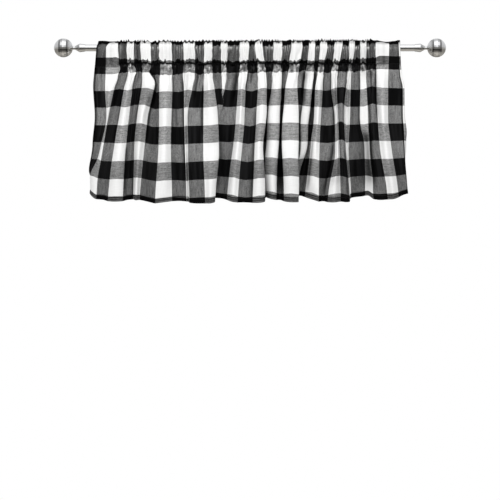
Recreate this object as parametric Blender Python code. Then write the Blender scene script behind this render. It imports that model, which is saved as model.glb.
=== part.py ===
"""Gathered window valance hanging on a round curtain rod with ball finials.

The valance is one length of checked cloth. Its top is turned over the rod and sewn down, which makes
the pocket that the rod runs through, and below the seam it hangs in soft upright folds.
Axes: +X along the rod to the viewer's right, +Y away from the viewer, +Z up. The origin is the middle
of the rod's axis.
"""
import math
from collections import namedtuple

import bmesh
import bpy
import numpy as np

MM = 0.001

# ---------------------------------------------------------------- driving dimensions
CHECK = 42 * MM                 # side of one check of the cloth, before it is gathered
CLOTH = 1.2 * MM                # thickness of one layer
CLEARANCE = 0.3 * MM            # between touching pieces

ROD_RADIUS = 8 * MM
ROD_WALL = 1.0 * MM
ROD_HALF_LENGTH = 406.5 * MM
ROD_SIDES = 32

BALL_RADIUS = 22.5 * MM
BALL_CENTRE = 444 * MM          # from the rod's middle
NECK_RADIUS = 4.4 * MM
NECK_END = 416 * MM             # where the neck meets the cone
COLLAR_RADIUS = 10.2 * MM
COLLAR_START = 405.5 * MM       # where the cone reaches the collar's full radius
COLLAR_END = 404.5 * MM         # where it starts to narrow towards the cloth
COLLAR_LIP = 392 * MM           # the thin edge of the collar, nearest the cloth
SOCKET_BOTTOM = 407 * MM

# Heights below the rod's axis
SEAM = 38 * MM                  # stitch line that closes the pocket
ALLOWANCE = 47 * MM             # lower edge of the cloth turned down behind the seam
CORNER_TURN = 286 * MM          # where the bottom left corner turns back on itself
HEM_TOP = 351.5 * MM
HEM = 363.5 * MM                  # finished lower edge

POCKET_PUFF = 3.5 * MM          # how far the gathered pocket stands off the rod, front and back
CREST = 5.5 * MM                # how far its pressed top fold stands above the rod
RUFFLE = 3.0 * MM               # how far the gathers raise that fold further
SMOOTH_ENDS = 1.5               # columns at each end of the heading that are not gathered
SIDE_SLICE = 4 * MM             # strip of the next column that ends the cloth on the right

FOLD_SPREAD = 0.55              # share of the slack in a column that turns into depth
HEADING_FOLD = 0.2              # size of the folds at the seam, as a share of their full size
FULL_FOLD = 120 * MM            # height below the rod at which the folds reach their full size
FOLD_ROUNDING = 0.17            # how far the cloth's stiffness evens out a fold, in columns
CREASE_RADIUS = 3 * MM          # the tightest bend that the cloth takes
FRONT_DROP = 0.40               # how much lower a fold hangs at the hem for each unit that it stands forward

# ---------------------------------------------------------------- the folds
# Heights below the rod's axis at which the table gives the stripes' places
LEVELS = {"rod": 5 * MM, "seam": 67 * MM, "upper": 93 * MM, "middle": 165 * MM, "lower": 241 * MM,
          "hem": 331 * MM}

# One row for each dark stripe, left to right, in millimetres.
#   rod ... hem   where the stripe's left and right edges hang at each level, from the rod's middle;
#                 an edge that lies left of the one before it is folded behind its neighbour
#   depth         how far its two edges stand forward at the hem
#   fold          which way the stripe, and the white column after it, bow: 1 forward, -1 back, 0 flat
Stripe = namedtuple("Stripe", "rod seam upper middle lower hem depth fold")
STRIPES = (
    Stripe((-365, -342), (-372, -344), (-374, -345), (-371, -342), (-377, -357), (-358, -381),
           depth=(-48, -32), fold=(0, 0.4)),
    Stripe((-314, -293), (-314, -294), (-322, -300), (-338, -312), (-351, -324), (-364, -336),
           depth=(-9, 4), fold=(-1, 1)),
    Stripe((-276, -261), (-274, -257), (-279, -259), (-288, -269), (-295, -276), (-301, -278),
           depth=(4, -8), fold=(-0.8, 1)),
    Stripe((-236, -217), (-234, -216), (-228, -216), (-243, -216), (-252, -218), (-261, -224),
           depth=(-5, 18), fold=(-0.8, 1)),
    Stripe((-186, -158), (-185, -159), (-185, -157), (-187, -156), (-188, -154), (-186, -151),
           depth=(4, 6), fold=(-1, -0.8)),
    Stripe((-131, -109), (-131, -110), (-137, -110), (-150, -111), (-148, -111), (-145, -107),
           depth=(14, 18), fold=(1, 1)),
    Stripe((-90, -69), (-89, -67), (-85, -66), (-75, -80), (-72, -98), (-80, -112),
           depth=(9, -4), fold=(0, 0)),
    Stripe((-54, -24), (-56, -27), (-60, -28), (-69, -33), (-68, -41), (-80, -52),
           depth=(-17, -4), fold=(-1, 1)),
    Stripe((-2, 12), (-6, 19), (-10, 19), (-13, 15), (-20, 10), (-28, 7),
           depth=(12, 14), fold=(-0.6, 0.8)),
    Stripe((29, 56), (39, 53), (41, 51), (37, 43), (31, 38), (34, 39),
           depth=(8, -22), fold=(-1, 1)),
    Stripe((76, 98), (76, 88), (76, 84), (72, 78), (69, 76), (64, 79),
           depth=(-4, 5), fold=(-1, 1)),
    Stripe((124, 140), (115, 132), (113, 129), (117, 123), (115, 110), (114, 92),
           depth=(10, -4), fold=(0, 0)),
    Stripe((155, 166), (152, 159), (149, 155), (141, 153), (131, 143), (115, 133),
           depth=(-30, -22), fold=(-1, 1)),
    Stripe((183, 201), (174, 194), (173, 193), (168, 203), (165, 204), (164, 188),
           depth=(7, 10), fold=(-1, 1)),
    Stripe((220, 236), (207, 234), (206, 231), (209, 224), (212, 228), (215, 236),
           depth=(6, 8), fold=(0.6, -1)),
    Stripe((249, 262), (240, 262), (239, 262), (238, 261), (234, 273), (239, 275),
           depth=(-16, -26), fold=(-1, 0)),
    Stripe((276, 298), (276, 301), (277, 301), (281, 304), (282, 310), (292, 325),
           depth=(-7, -7), fold=(1, 1)),
    Stripe((331, 353), (329, 358), (328, 364), (328, 365), (337, 370), (352, 377),
           depth=(-18, -38), fold=(-0.5, 0)),
)
COLUMNS = 2 * len(STRIPES) - 1          # dark and white columns across the cloth
STATIONS_PER_COLUMN = 4
SLICE_PLACE = COLUMNS + 0.12            # place of the cloth's right edge, counted in columns
ROUNDING_STEP = 1 / 24                  # spacing, in columns, at which creases are rounded
ROUNDING_ROUNDS = 80
RUN_OUT = 0.25                          # how far the edges keep their slant below the last level

# Heights of the solid's rows below the seam, lowest first
PANEL_ROWS = (HEM, HEM_TOP, LEVELS["hem"], CORNER_TURN, LEVELS["lower"], LEVELS["middle"],
              LEVELS["upper"], LEVELS["seam"], ALLOWANCE, SEAM)
# The pocket's rows: up the front in a straight line, over the rod, and down the back
STRAIGHT_SHARES = (0.35, 0.7)
CREST_POWER = 4                         # how narrow the crest is: 1 would be as wide as the rod
ARC_ANGLES = (0, 45, 90, 135, 180)      # degrees from the front, over the top, to the back


def smooth_through(knots, values, places):
    """Read the monotone cubic through values (first axis at knots) at the given places."""
    knots = np.asarray(knots, float)
    values = np.asarray(values, float)
    gaps = np.diff(knots).reshape((-1,) + (1,) * (values.ndim - 1))
    rises = np.diff(values, axis=0) / gaps
    slopes = np.zeros_like(values)
    product = rises[:-1] * rises[1:]
    total = np.where(product > 0, rises[:-1] + rises[1:], 1.0)
    slopes[1:-1] = np.where(product > 0, 2 * product / total, 0.0)
    slopes[0] = rises[0]
    slopes[-1] = rises[-1]
    cell = np.clip(np.searchsorted(knots, places, side="right") - 1, 0, len(knots) - 2)
    gap = gaps[cell]
    share = (np.asarray(places, float) - knots[cell]).reshape(gap.shape) / gap
    back = 1 - share
    return (values[cell] * (1 + 2 * share) * back ** 2 + slopes[cell] * gap * share * back ** 2
            + values[cell + 1] * (3 - 2 * share) * share ** 2 - slopes[cell + 1] * gap * back * share ** 2)


def rounded(line):
    """Round the creases of a line of evenly spaced points, and keep its two ends in place."""
    reach = math.ceil(3 * FOLD_ROUNDING / ROUNDING_STEP)
    weights = np.exp(-0.5 * (np.arange(-reach, reach + 1) * ROUNDING_STEP / FOLD_ROUNDING) ** 2)
    before = 2 * line[0] - line[reach:0:-1]
    after = 2 * line[-1] - line[-2:-reach - 2:-1]
    longer = np.concatenate((before, line, after))
    line = np.column_stack([np.convolve(values, weights / weights.sum(), mode="valid")
                            for values in longer.T])
    for _ in range(ROUNDING_ROUNDS):
        half_chord = np.hypot(*(line[2:] - line[:-2]).T) / 2
        inward = (line[2:] + line[:-2]) / 2 - line[1:-1]
        tight = half_chord ** 2 < 2 * np.hypot(*inward.T) * CREASE_RADIUS
        line[1:-1] += np.where(tight, 0.5, 0.0)[:, None] * inward
    return line


def smooth_step(value, low, high):
    share = min(1.0, max(0.0, (value - low) / (high - low)))
    return share * share * (3 - 2 * share)


def column_edges(height):
    """Places along X of the column edges at a height below the rod's axis."""
    heights = list(LEVELS.values())
    places = [[edge * MM for stripe in STRIPES for edge in getattr(stripe, name)] for name in LEVELS]
    lowest = [end + (end - above) * RUN_OUT for end, above in zip(places[-1], places[-2])]
    return smooth_through(heights + [HEM], places + [lowest], [height])[0]


def cloth_line(height, stations):
    """The cloth's middle at one height, for places counted in columns.

    Gives X, the distance forward of the rod's axis, and the direction that its front faces.
    """
    edges = column_edges(height)
    fall = max(0.0, (height - SEAM) / (HEM - SEAM))
    depths = np.array([edge * MM for stripe in STRIPES for edge in stripe.depth]) * fall
    size = HEADING_FOLD + (1 - HEADING_FOLD) * smooth_step(height, SEAM, FULL_FOLD)
    bows = [bow for stripe in STRIPES for bow in stripe.fold][:COLUMNS]
    slack = np.sqrt(np.maximum(0, CHECK ** 2 - np.diff(edges) ** 2 - np.diff(depths) ** 2))
    knots = np.append(np.arange(2 * COLUMNS + 1) / 2, SLICE_PLACE)
    across = np.empty(len(knots))
    forward = np.empty(len(knots))
    across[0:-1:2] = edges
    forward[0:-1:2] = depths
    across[1:-1:2] = (edges[:-1] + edges[1:]) / 2
    forward[1:-1:2] = (depths[:-1] + depths[1:]) / 2 + np.array(bows) * FOLD_SPREAD * slack * size
    across[-1] = edges[-1] + SIDE_SLICE
    forward[-1] = depths[-1]
    grid = np.arange(0, SLICE_PLACE + ROUNDING_STEP / 2, ROUNDING_STEP)
    line = rounded(smooth_through(knots, np.column_stack((across, forward)), grid))
    run, rise = np.gradient(line[:, 0]), np.gradient(line[:, 1])
    length = np.hypot(run, rise)
    facing = np.column_stack((-rise / length, run / length))
    return [np.interp(stations, grid, values) for values in (*line.T, *facing.T)]


def panel_row(height, stations, layer_offset):
    """Points of a surface of the hanging cloth, layer_offset forward of its middle."""
    across, forward, facing_across, facing_forward = cloth_line(height, stations)
    drop = FRONT_DROP * forward * height / HEM
    return np.column_stack((across + facing_across * layer_offset,
                            -(forward + facing_forward * layer_offset),
                            -height - drop))


def gathers(stations):
    """How far the gathered heading stands out at each place, from 0 to 1."""
    edge_distance = np.minimum(stations, SLICE_PLACE - stations)
    return np.sin(math.pi * stations) ** 2 * (edge_distance > SMOOTH_ENDS)


def pocket_rows(stations, stand_off, seam_offset):
    """Rows of a pocket surface: the seam's front side, round the rod, to the seam's back side."""
    puff = gathers(stations)
    half_facet = math.radians(ARC_ANGLES[1] - ARC_ANGLES[0]) / 2
    ring = []
    for angle in ARC_ANGLES:
        turn = math.radians(angle)
        radius = ((ROD_RADIUS + CLEARANCE) / math.cos(half_facet) + stand_off
                  + puff * POCKET_PUFF * abs(math.cos(turn))
                  + (CREST + puff * RUFFLE) * math.sin(turn) ** CREST_POWER)
        across = cloth_line(LEVELS["rod"], stations)[0]
        ring.append(np.column_stack((across, -radius * math.cos(turn), radius * math.sin(turn))))
    front_foot = panel_row(SEAM, stations, seam_offset[0])
    back_foot = panel_row(SEAM, stations, seam_offset[1])
    front = [front_foot * (1 - share) + ring[0] * share for share in STRAIGHT_SHARES]
    back = [back_foot * (1 - share) + ring[-1] * share for share in reversed(STRAIGHT_SHARES)]
    return front + ring + back


def cloth_stations():
    """Places across the cloth, counted in columns, at which the solid has its points."""
    inner = np.arange(COLUMNS * STATIONS_PER_COLUMN + 1) / STATIONS_PER_COLUMN
    return np.append(inner, SLICE_PLACE)


def add_object(name, mesh, colour, roughness, metallic, smooth_angle):
    """Link a mesh as a named object with its own Principled material."""
    material = bpy.data.materials.new(name + "_material")
    material.use_nodes = True
    shader = material.node_tree.nodes["Principled BSDF"]
    shader.inputs["Base Color"].default_value = (*colour, 1)
    shader.inputs["Roughness"].default_value = roughness
    shader.inputs["Metallic"].default_value = metallic
    mesh.materials.append(material)
    mesh.shade_smooth()
    mesh.set_sharp_from_angle(angle=math.radians(smooth_angle))
    made = bpy.data.objects.new(name, mesh)
    bpy.context.scene.collection.objects.link(made)
    return made


def build_panel():
    """The valance: hanging cloth, pocket, turned allowance and hem as one closed solid."""
    stations = cloth_stations()
    face = CLOTH / 2
    doubled = -3 * CLOTH / 2
    front = [panel_row(height, stations, face) for height in PANEL_ROWS]
    outer_pocket = pocket_rows(stations, CLOTH, (face, doubled))
    inner_pocket = pocket_rows(stations, 0, (-face, -face))
    seam_inside = panel_row(SEAM, stations, -face)
    back = {height: panel_row(height, stations, -face) for height in PANEL_ROWS[1:-1]}
    thick = {height: panel_row(height, stations, doubled) for height in (HEM, HEM_TOP, ALLOWANCE, SEAM)}

    mesh = bpy.data.meshes.new("valance_panel")
    shape = bmesh.new()

    def rail(points):
        return [shape.verts.new(point) for point in points]

    front = [rail(points) for points in front]
    outer_pocket = [rail(points) for points in outer_pocket]
    inner_pocket = [rail(points) for points in inner_pocket]
    seam_inside = rail(seam_inside)
    back = {height: rail(points) for height, points in back.items()}
    thick = {height: rail(points) for height, points in thick.items()}

    back_down = [back[height] for height in reversed(PANEL_ROWS[1:-1])]
    outside = (front + outer_pocket + [thick[SEAM], thick[ALLOWANCE]] + back_down
               + [thick[HEM_TOP], thick[HEM]])
    inside = [seam_inside] + inner_pocket
    for loop in (outside, inside):
        for lower, upper in zip(loop, loop[1:] + loop[:1]):
            for index in range(len(stations) - 1):
                shape.faces.new((lower[index], lower[index + 1], upper[index + 1], upper[index]))

    # The two side edges: the hem, the hanging cloth, the doubled strip at the seam, and the pocket's ring
    cells = [[front[0], front[1], back[HEM_TOP], thick[HEM_TOP], thick[HEM]]]
    for number in range(1, len(PANEL_ROWS) - 2):
        low, high = PANEL_ROWS[number], PANEL_ROWS[number + 1]
        cells.append([front[number], front[number + 1], back[high], back[low]])
    cells.append([front[-2], front[-1], seam_inside, thick[SEAM], thick[ALLOWANCE], back[ALLOWANCE]])
    outer_ring = [front[-1]] + outer_pocket + [thick[SEAM]]
    inner_ring = [seam_inside] + inner_pocket + [seam_inside]
    for number in range(len(outer_ring) - 1):
        cell = [outer_ring[number], outer_ring[number + 1], inner_ring[number + 1], inner_ring[number]]
        cells.append(cell)
    for end in (0, -1):
        for cell in cells:
            shape.faces.new([points[end] for points in cell])

    bmesh.ops.recalc_face_normals(shape, faces=shape.faces)
    shape.to_mesh(mesh)
    shape.free()
    add_object("valance_panel", mesh, (0.30, 0.30, 0.30), 0.85, 0.0, 50)


def turned_mesh(name, profile, sides, closed):
    """Turn a profile of (place along X, radius) points about the X axis."""
    shape = bmesh.new()
    rings = []
    for along, radius in profile:
        if radius == 0:
            rings.append([shape.verts.new((along, 0, 0))])
            continue
        turns = [2 * math.pi * side / sides for side in range(sides)]
        rings.append([shape.verts.new((along, radius * math.cos(turn), radius * math.sin(turn)))
                      for turn in turns])
    pairs = list(zip(rings, rings[1:] + rings[:1])) if closed else list(zip(rings, rings[1:]))
    for first, second in pairs:
        for side in range(sides):
            after = (side + 1) % sides
            if len(first) == 1:
                shape.faces.new((first[0], second[side], second[after]))
            elif len(second) == 1:
                shape.faces.new((first[side], first[after], second[0]))
            else:
                shape.faces.new((first[side], first[after], second[after], second[side]))
    bmesh.ops.recalc_face_normals(shape, faces=shape.faces)
    mesh = bpy.data.meshes.new(name)
    shape.to_mesh(mesh)
    shape.free()
    return mesh


def build_rod():
    """The rod: a plain tube, open at both ends inside the finials."""
    bore = ROD_RADIUS - ROD_WALL
    profile = [(-ROD_HALF_LENGTH, ROD_RADIUS), (ROD_HALF_LENGTH, ROD_RADIUS),
               (ROD_HALF_LENGTH, bore), (-ROD_HALF_LENGTH, bore)]
    mesh = turned_mesh("curtain_rod", profile, ROD_SIDES, True)
    add_object("curtain_rod", mesh, (0.62, 0.62, 0.60), 0.30, 1.0, 30)


def finial_profile():
    """Right finial, from the ball's outer pole to the bottom of its socket."""
    ball_steps = 14
    neck_turn = math.pi - math.asin(NECK_RADIUS / BALL_RADIUS)
    profile = [(BALL_CENTRE + BALL_RADIUS * math.cos(neck_turn * step / ball_steps),
                BALL_RADIUS * math.sin(neck_turn * step / ball_steps)) for step in range(ball_steps + 1)]
    profile[0] = (BALL_CENTRE + BALL_RADIUS, 0)
    socket_radius = ROD_RADIUS + CLEARANCE
    profile += [(NECK_END, NECK_RADIUS), (COLLAR_START, COLLAR_RADIUS), (COLLAR_END, COLLAR_RADIUS),
                (COLLAR_LIP, socket_radius + 0.4 * MM), (COLLAR_LIP, socket_radius),
                (SOCKET_BOTTOM, socket_radius), (SOCKET_BOTTOM, 0)]
    return profile


def build_finial(name, side):
    """A ball finial; side is 1 for the rod's right end and -1 for its left."""
    profile = [(side * along, radius) for along, radius in finial_profile()]
    mesh = turned_mesh(name, profile, ROD_SIDES, False)
    add_object(name, mesh, (0.62, 0.62, 0.60), 0.22, 1.0, 35)


def main():
    for old in list(bpy.data.objects):
        bpy.data.objects.remove(old, do_unlink=True)
    build_panel()
    build_rod()
    build_finial("finial_left", -1)
    build_finial("finial_right", 1)


main()
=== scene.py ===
"""Looks of the gathered buffalo check window valance on its curtain rod.

The cloth hangs in the folds of the CAD solid, with the finer gathers, the ruffle, the hems and the
stitching added. Lengths are in metres, +X to the viewer's right, +Y away from the viewer, +Z up.
"""

import math
from collections import namedtuple

import bmesh
import bpy
import numpy as np
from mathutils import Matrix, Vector


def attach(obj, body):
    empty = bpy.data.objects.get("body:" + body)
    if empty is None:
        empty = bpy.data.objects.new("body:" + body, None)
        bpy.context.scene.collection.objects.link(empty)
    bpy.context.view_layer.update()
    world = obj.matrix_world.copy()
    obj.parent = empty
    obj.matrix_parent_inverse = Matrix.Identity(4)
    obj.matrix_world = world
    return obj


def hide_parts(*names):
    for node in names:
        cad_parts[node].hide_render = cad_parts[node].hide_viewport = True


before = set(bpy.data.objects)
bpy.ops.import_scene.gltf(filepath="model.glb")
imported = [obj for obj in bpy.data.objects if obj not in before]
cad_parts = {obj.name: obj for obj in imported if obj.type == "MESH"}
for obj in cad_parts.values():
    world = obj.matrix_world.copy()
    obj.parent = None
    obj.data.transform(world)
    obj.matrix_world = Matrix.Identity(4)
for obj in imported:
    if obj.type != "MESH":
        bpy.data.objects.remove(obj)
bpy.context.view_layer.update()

MM = 0.001

# ------------------------------------------------ sizes shared with the CAD
CHECK = 42 * MM                 # side of one check of the cloth, before it is gathered
# Heights below the rod's axis
SEAM = 38 * MM                  # stitch line that closes the pocket
ALLOWANCE = 47 * MM             # lower edge of the cloth turned down behind the seam
HEM_TOP = 351.5 * MM
HEM = 363.5 * MM                # finished lower edge
SIDE_SLICE = 4 * MM             # strip of the next column that ends the cloth on the right
FOLD_SPREAD = 0.55              # share of the slack in a column that turns into depth
HEADING_FOLD = 0.2              # size of the folds at the seam, as a share of their full size
FULL_FOLD = 120 * MM            # height below the rod at which the folds reach their full size
FRONT_DROP = 0.40               # how much lower a fold hangs at the hem for each unit that it stands forward
# Heights below the rod's axis at which the table gives the stripes' places
LEVELS = {"rod": 5 * MM, "seam": 67 * MM, "upper": 93 * MM, "middle": 165 * MM, "lower": 241 * MM,
          "hem": 331 * MM}

# One row for each dark stripe, left to right, in millimetres.
#   rod ... hem   where the stripe's left and right edges hang at each level, from the rod's middle;
#                 an edge that lies left of the one before it is folded behind its neighbour
#   depth         how far its two edges stand forward at the hem
#   fold          which way the stripe, and the white column after it, bow: 1 forward, -1 back, 0 flat
Stripe = namedtuple("Stripe", "rod seam upper middle lower hem depth fold")
STRIPES = tuple(Stripe(*row) for row in (
    ((-365, -342), (-372, -344), (-374, -345), (-371, -342), (-377, -357), (-358, -381),
     (-48, -32), (0, 0.4)),
    ((-314, -293), (-314, -294), (-322, -300), (-338, -312), (-351, -324), (-364, -336), (-9, 4), (-1, 1)),
    ((-276, -261), (-274, -257), (-279, -259), (-288, -269), (-295, -276), (-301, -278), (4, -8), (-0.8, 1)),
    ((-236, -217), (-234, -216), (-228, -216), (-243, -216), (-252, -218), (-261, -224), (-5, 18), (-0.8, 1)),
    ((-186, -158), (-185, -159), (-185, -157), (-187, -156), (-188, -154), (-186, -151), (4, 6), (-1, -0.8)),
    ((-131, -109), (-131, -110), (-137, -110), (-150, -111), (-148, -111), (-145, -107), (14, 18), (1, 1)),
    ((-90, -69), (-89, -67), (-85, -66), (-75, -80), (-72, -98), (-80, -112), (9, -4), (0, 0)),
    ((-54, -24), (-56, -27), (-60, -28), (-69, -33), (-68, -41), (-80, -52), (-17, -4), (-1, 1)),
    ((-2, 12), (-6, 19), (-10, 19), (-13, 15), (-20, 10), (-28, 7), (12, 14), (-0.6, 0.8)),
    ((29, 56), (39, 53), (41, 51), (37, 43), (31, 38), (34, 39), (8, -22), (-1, 1)),
    ((76, 98), (76, 88), (76, 84), (72, 78), (69, 76), (64, 79), (-4, 5), (-1, 1)),
    ((124, 140), (115, 132), (113, 129), (117, 123), (115, 110), (114, 92), (10, -4), (0, 0)),
    ((155, 166), (152, 159), (149, 155), (141, 153), (131, 143), (115, 133), (-30, -22), (-1, 1)),
    ((183, 201), (174, 194), (173, 193), (168, 203), (165, 204), (164, 188), (7, 10), (-1, 1)),
    ((220, 236), (207, 234), (206, 231), (209, 224), (212, 228), (215, 236), (6, 8), (0.6, -1)),
    ((249, 262), (240, 262), (239, 262), (238, 261), (234, 273), (239, 275), (-16, -26), (-1, 0)),
    ((276, 298), (276, 301), (277, 301), (281, 304), (282, 310), (292, 325), (-7, -7), (1, 1)),
    ((331, 353), (329, 358), (328, 364), (328, 365), (337, 370), (352, 377), (-18, -38), (-0.5, 0)),
))
# How far the columns' edges stand forward at the hem
EDGE_DEPTHS = np.array([edge * MM for stripe in STRIPES for edge in stripe.depth])
COLUMNS = 2 * len(STRIPES) - 1          # dark and white columns across the cloth
SLICE_PLACE = COLUMNS + 0.12            # place of the cloth's right edge, counted in columns
ROUNDING_STEP = 1 / 24                  # spacing, in columns, at which creases are rounded
ROUNDING_ROUNDS = 80
RUN_OUT = 0.25                          # how far the edges keep their slant below the last level

# ------------------------------------------------ sizes of the looks alone
# The sheet is thinner than the solid, so it bends more sharply than there
FOLD_ROUNDING = 0.13            # how far the cloth's stiffness evens out a fold, in columns
CREASE_RADIUS = 1.6 * MM        # the tightest bend that the cloth takes
OWN_DEPTH = 0.3                 # share of the drop that follows each point's depth, the rest the edges'
HEADING_STATIONS = 30           # points across one column, where the cloth is gathered
HANGING_STATIONS = 15           # points across one column below that
HANGING_ROWS = 38
ROWS_OVER_ROD = 19
ROWS_BEHIND_ROD = 5
ALLOWANCE_ROWS = 3
GATHERED_DOWN = 106 * MM        # the fine gathers have run out at this height below the rod's axis
PLEATS_DOWN = 84 * MM           # and no longer shade the cloth at this one
LAYER_GAP = 1.3 * MM            # between the middles of two layers of the cloth
POCKET_RADIUS = 9.2 * MM        # of the ungathered pocket, to the middle of the cloth
OVER_ROD = 12.5 * MM            # length of the cloth over the rod for each radian
GATHERS_PER_COLUMN = 3.6
GATHER_DEPTH = 4.4 * MM
CREST = 6.5 * MM                # how far the pressed top fold stands above the round of the pocket
CREST_POWER = 4
FRILL_PER_COLUMN = 3.1
FRILL_HEIGHT = 5.2 * MM         # how much the gathers raise it further
END_SLIP = 9.5 * MM             # how far the top fold's left end is pushed to the right
SMOOTH_ENDS = 2.05              # columns at each end that are not gathered
END_BLEND = 0.35                # columns over which the gathers start, to either side of that
SEAM_AT_LEFT = 45.5 * MM        # the seam hangs lower at its ungathered left end
HEM_STITCHES = HEM_TOP + 1.8 * MM
INNER_HEM_EDGE = HEM_TOP + 6.5 * MM     # where the hem's turned-in edge shows through, drawn as a line of painted shade
SEAM_SLACK = 6.5 * MM           # length of the cloth that the puckers take up
SIDE_HEM = 0.2                  # width of the side hems, in columns
WEAK_PLEAT_SHADE = 8.5               # where the pleats' painted shade is weaker than elsewhere, in columns
# The hem's turn-up, ending on the front: each row's height, and how many layers it lies in front
HEM_TURN_UP = ((HEM_TOP, -0.45), (HEM_TOP + 1.5 * MM, -1), (HEM - 6 * MM, -1), (HEM - 1 * MM, -0.9),
               (HEM, -0.5), (HEM - 1 * MM, 0))
# Rows of the front near the hem, close together at its stitches
HEM_ROWS = (HEM - 2.5 * MM, HEM - 4 * MM, INNER_HEM_EDGE, HEM_TOP + 5 * MM, HEM_TOP + 3.6 * MM,
            HEM_TOP + 2.7 * MM, HEM_STITCHES, HEM_TOP + 0.9 * MM, HEM_TOP, HEM_TOP - 2 * MM)
# Rows of the gathered cloth below and above the seam, in millimetres from it, close together near it
BELOW_SEAM = (64, 59, 54, 49, 44, 39, 34.5, 30, 26, 22, 18.5, 15.5, 12.5, 10, 7.5, 5.5, 4, 2.8, 1.8, 0.9, 0)
ABOVE_SEAM = (0.9, 1.8, 2.8, 4, 5.5, 8, 12, 17, 23, 30)
COLUMN_SHIFT = 36               # keeps the count of columns positive in the side hem

# The creases and small ridges of the hanging cloth, more or less from left to right.
#   place, lean     where its upper end is, counted in columns, and how far over its lower end lies
#   top, bottom     heights below the rod's axis, in millimetres
#   rise, width     how far it stands out (or lies in, if negative) in millimetres, and half width in columns
#   shade           how closed the crease is, as painted shade in the cloth's colour: 1 lets no light in
Crease = namedtuple("Crease", "place lean top bottom rise width shade")
CREASES = tuple(Crease(*row) for row in (
    (0.3, 0, 60, 130, -1.2, 0.05, 0.25), (0.62, 0.1, 55, 120, -1, 0.06, 0.2),
    (0.45, 0, 205, 300, -0.3, 0.55, 0.25), (2.15, 0, 58, 115, -1.5, 0.08, 0.35),
    (2.9, 0, 58, 200, -2, 0.08, 0.45), (4.1, 0, 56, 110, -2.2, 0.12, 0.42),
    (4.6, 0, 58, 110, 2, 0.13, 0), (4.92, -0.1, 75, 200, -2, 0.08, 0.55),
    (5.45, 0, 88, 142, -0.2, 0.42, 0.22), (5.45, 0, 178, 236, -0.2, 0.42, 0.2),
    (4.1, 0.1, 225, 362, -2.5, 0.14, 0.6), (4.85, 0, 300, 362, -2, 0.1, 0.5),
    (6.2, -0.05, 50, 150, -3, 0.13, 1), (6.42, -0.1, 48, 150, -1, 0.09, 0.75),
    (6.12, 0, 125, 235, -1.2, 0.09, 0.75), (6.5, 0, 130, 430, -0.5, 0.5, 0.2),
    (5.85, -0.1, 100, 190, -2, 0.2, 0.25), (8.12, 0, 50, 260, -1.5, 0.08, 0.4),
    (8.4, 0, 56, 110, 1.8, 0.12, 0), (8.86, 0, 50, 345, -3.5, 0.1, 0.85),
    (8.35, 0.1, 130, 230, -1.4, 0.09, 0.45), (9.13, 0, 56, 98, -1, 0.05, 0.5),
    (9.4, 0, 60, 110, -1.2, 0.07, 0.18), (10.22, 0.1, 56, 130, -2.5, 0.14, 0.7),
    (10.62, -0.2, 56, 115, 2.2, 0.13, 0), (10.93, 0, 80, 215, -3, 0.07, 0.8),
    (11.3, 0, 56, 105, -1, 0.06, 0.15), (11.65, 0, 178, 236, -0.2, 0.42, 0.2),
    (12.5, 0, 56, 112, -0.3, 0.5, 0.32), (14.8, -0.2, 52, 135, -3, 0.14, 0.85),
    (14.45, 0, 58, 110, 1.8, 0.12, 0), (14.15, 0, 215, 360, -2, 0.12, 0.45),
    (16.06, 0, 58, 108, -3, 0.08, 0.8), (16.4, 0, 48, 88, -2, 0.07, 0.6),
    (16.88, 0, 130, 400, -1.8, 0.12, 0.58), (18.12, 0, 52, 150, -3, 0.1, 0.75),
    (18.5, 0, 140, 400, -5, 0.3, 0.9), (20.15, 0, 52, 120, -3, 0.14, 0.7),
    (20.5, 0, 110, 378, -6, 0.36, 0.95), (22.8, -0.1, 52, 130, -4, 0.16, 0.75),
    (22.6, 0, 120, 400, -6, 0.5, 0.95), (22, 0, 150, 345, -0.5, 0.05, 0.95),
    (23.08, 0, 50, 150, -1, 0.24, 0.8), (23.5, 0, 255, 330, -0.3, 0.6, 0.35),
    (24.5, 0, 45, 215, -6, 0.27, 0.65), (25.12, 0, 215, 355, -2.5, 0.13, 0.65),
    (26.14, 0, 52, 130, -2, 0.1, 0.35), (26.5, 0, 56, 110, 2, 0.14, 0),
    (26.86, 0, 52, 150, -2.5, 0.1, 0.5), (26.9, -0.1, 120, 225, -3, 0.07, 0.85),
    (26.8, -0.3, 215, 363, -3.5, 0.09, 0.8), (27.5, 0, 98, 145, -0.5, 0.5, 0.45),
    (27.5, 0, 255, 330, -0.3, 0.55, 0.32), (28.78, 0, 225, 420, -1, 0.17, 0.45),
    (28.9, 0, 52, 150, -3, 0.1, 0.65), (29.2, 0, 60, 160, -1.6, 0.2, 0.12),
    (30.35, 0, 56, 110, 2, 0.14, 0), (30.9, 0, 52, 215, -3, 0.11, 0.65),
    (31.45, 0, 192, 350, -4, 0.75, 0.85), (32.14, 0, 100, 340, -2, 0.1, 0.6),
    (32.46, 0, 48, 115, -4, 0.09, 0.9), (32.95, 0, 48, 180, -3, 0.08, 0.75),
    (34.35, 0, 56, 120, -1, 0.07, 0.2), (34.8, 0.1, 60, 160, -1, 0.08, 0.2),
    (35.12, 0, 190, 440, -4, 0.1, 0.5),
))

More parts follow.
